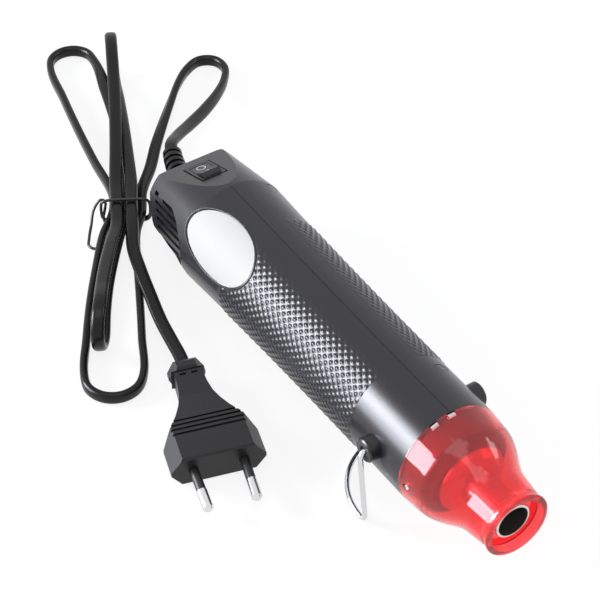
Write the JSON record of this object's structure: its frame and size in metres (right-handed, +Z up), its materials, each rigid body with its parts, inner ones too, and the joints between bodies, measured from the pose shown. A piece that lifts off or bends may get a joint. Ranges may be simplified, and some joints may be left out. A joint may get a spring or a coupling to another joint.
{
  "type": "embossing heat tool",
  "caption": "Hand-held mains hot-air tool for embossing, with a clear red nozzle guard, a fold-out wire stand, a rocker switch and a tied flat cord.",
  "frame": {"origin": "bottom centre of the box round the tool without its cord and plug, on the surface the tool rests on", "axes": "+X from the tail end to the nozzle along the floor, +Z up, -Y the side with the label"},
  "size_m": [0.3385, 0.1434, 0.0523],
  "materials": {
    "case": "fine knurl on the grip, satin elsewhere",
    "steel_small": "zinc plated",
    "label": "blank, satin",
    "switch_black": "satin",
    "rocker": "semi-gloss",
    "brass_tabs": "plain",
    "cord_black": "satin vinyl",
    "inner_plastic": "moulded",
    "board": "satin",
    "motor_steel": "plated",
    "fan_white": "moulded",
    "hot_tube": "drawn, bright",
    "mica": "layered",
    "coil_wire": "oxidised resistance wire",
    "lead_sleeve": "silicone sleeve",
    "guard_red": "clear tinted plastic",
    "stand_steel": "bright nickel plated",
    "tie_black": "coated wire",
    "plug_grey": "satin vinyl",
    "pin_metal": "nickel plated brass"
  },
  "bodies": {
    "tool": {"case_right": "case", "case_left": "case", "case_screws": "steel_small", "label_plate": "label", "switch_frame": "switch_black", "switch_terminals": "brass_tabs", "strain_relief": "cord_black", "cord_clamp": "inner_plastic", "inner_cable": "cord_black", "rectifier_board": "board", "motor_end_cap": "inner_plastic", "motor_can": "motor_steel", "motor_mount": "inner_plastic", "fan_shroud": "inner_plastic", "heater_tube": "hot_tube", "mica_liner": "mica", "mica_cross": "mica", "heating_coil": "coil_wire", "thermostat": "brass_tabs", "thermal_fuse": "steel_small", "heater_leads": "lead_sleeve", "front_flange": "switch_black", "nozzle_guard": "guard_red", "stand_boss_right": "case", "stand_boss_left": "case", "cord_lead": "cord_black", "cord_hank": "cord_black", "cord_tail": "cord_black", "cord_tie": "tie_black", "plug_body": "plug_grey", "plug_sleeves": "switch_black", "plug_pins": "pin_metal"},
    "stand": {"stand_wire": "stand_steel"},
    "rocker": {"switch_rocker": "rocker"},
    "fan": {"fan_impeller": "fan_white", "motor_shaft": "motor_steel"}
  },
  "joints": [
    {"name": "stand_fold", "type": "hinge", "parent": "tool", "child": "stand", "pos_m": [0.05095, 0, 0.03349], "axis": [0, -1, 0], "range_deg": [0, 90]},
    {"name": "rocker_press", "type": "hinge", "parent": "tool", "child": "rocker", "pos_m": [-0.09287, 0, 0.03956], "axis": [0, 1, 0], "range_deg": [0, 20]},
    {"name": "fan_spin", "type": "hinge", "parent": "tool", "child": "fan", "pos_m": [-0.02128, 0, 0.02658], "axis": [0.9985, 0, 0.0541], "continuous": true}
  ]
}
